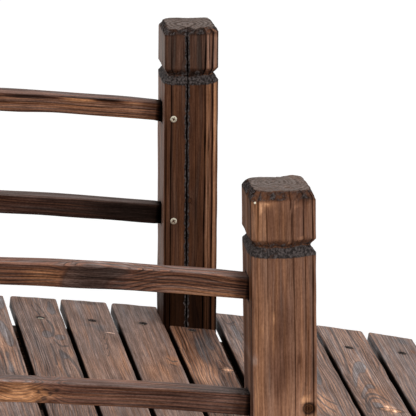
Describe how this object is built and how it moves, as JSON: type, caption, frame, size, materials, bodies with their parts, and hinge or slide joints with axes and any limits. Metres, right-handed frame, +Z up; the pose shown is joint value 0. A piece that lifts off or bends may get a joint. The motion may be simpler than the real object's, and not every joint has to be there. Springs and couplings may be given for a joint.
{
  "type": "wooden footbridge",
  "caption": "Small arched garden footbridge of dark brushed wood with a slatted deck, notched square posts and arched rails mortised into them.",
  "frame": {"origin": "on the ground under the middle of the bridge", "axes": "+X along the bridge, +Y across it, +Z up"},
  "size_m": [1.4838, 0.676, 0.4401],
  "materials": {
    "deck_wood": "brushed, stained, matt",
    "post_wood": "brushed, scorched and stained, matt",
    "rail_wood": "brushed, scorched and stained, satin",
    "stringer_wood": "stained, matt",
    "batten_wood": "stained, matt",
    "screw_steel": "zinc plated screws"
  },
  "bodies": {
    "root": {"slat_01": "deck_wood", "slat_02": "deck_wood", "slat_03": "deck_wood", "slat_04": "deck_wood", "slat_05": "deck_wood", "slat_06": "deck_wood", "slat_07": "deck_wood", "slat_08": "deck_wood", "slat_09": "deck_wood", "slat_10": "deck_wood", "slat_11": "deck_wood", "slat_12": "deck_wood", "slat_13": "deck_wood", "slat_14": "deck_wood", "slat_15": "deck_wood", "slat_16": "deck_wood", "slat_17": "deck_wood", "slat_18": "deck_wood", "slat_19": "deck_wood", "slat_20": "deck_wood", "slat_21": "deck_wood", "slat_22": "deck_wood", "slat_23": "deck_wood", "slat_24": "deck_wood", "slat_25": "deck_wood", "slat_26": "deck_wood", "slat_27": "deck_wood", "slat_28": "deck_wood", "slat_29": "deck_wood", "slat_30": "deck_wood", "near_left_post": "post_wood", "near_right_post": "post_wood", "far_left_post": "post_wood", "far_right_post": "post_wood", "near_upper_rail": "rail_wood", "near_lower_rail": "rail_wood", "far_upper_rail": "rail_wood", "far_lower_rail": "rail_wood", "near_stringer": "stringer_wood", "middle_stringer": "stringer_wood", "far_stringer": "stringer_wood", "near_left_batten": "batten_wood", "near_right_batten": "batten_wood", "far_left_batten": "batten_wood", "far_right_batten": "batten_wood"}
  },
  "joints": []
}
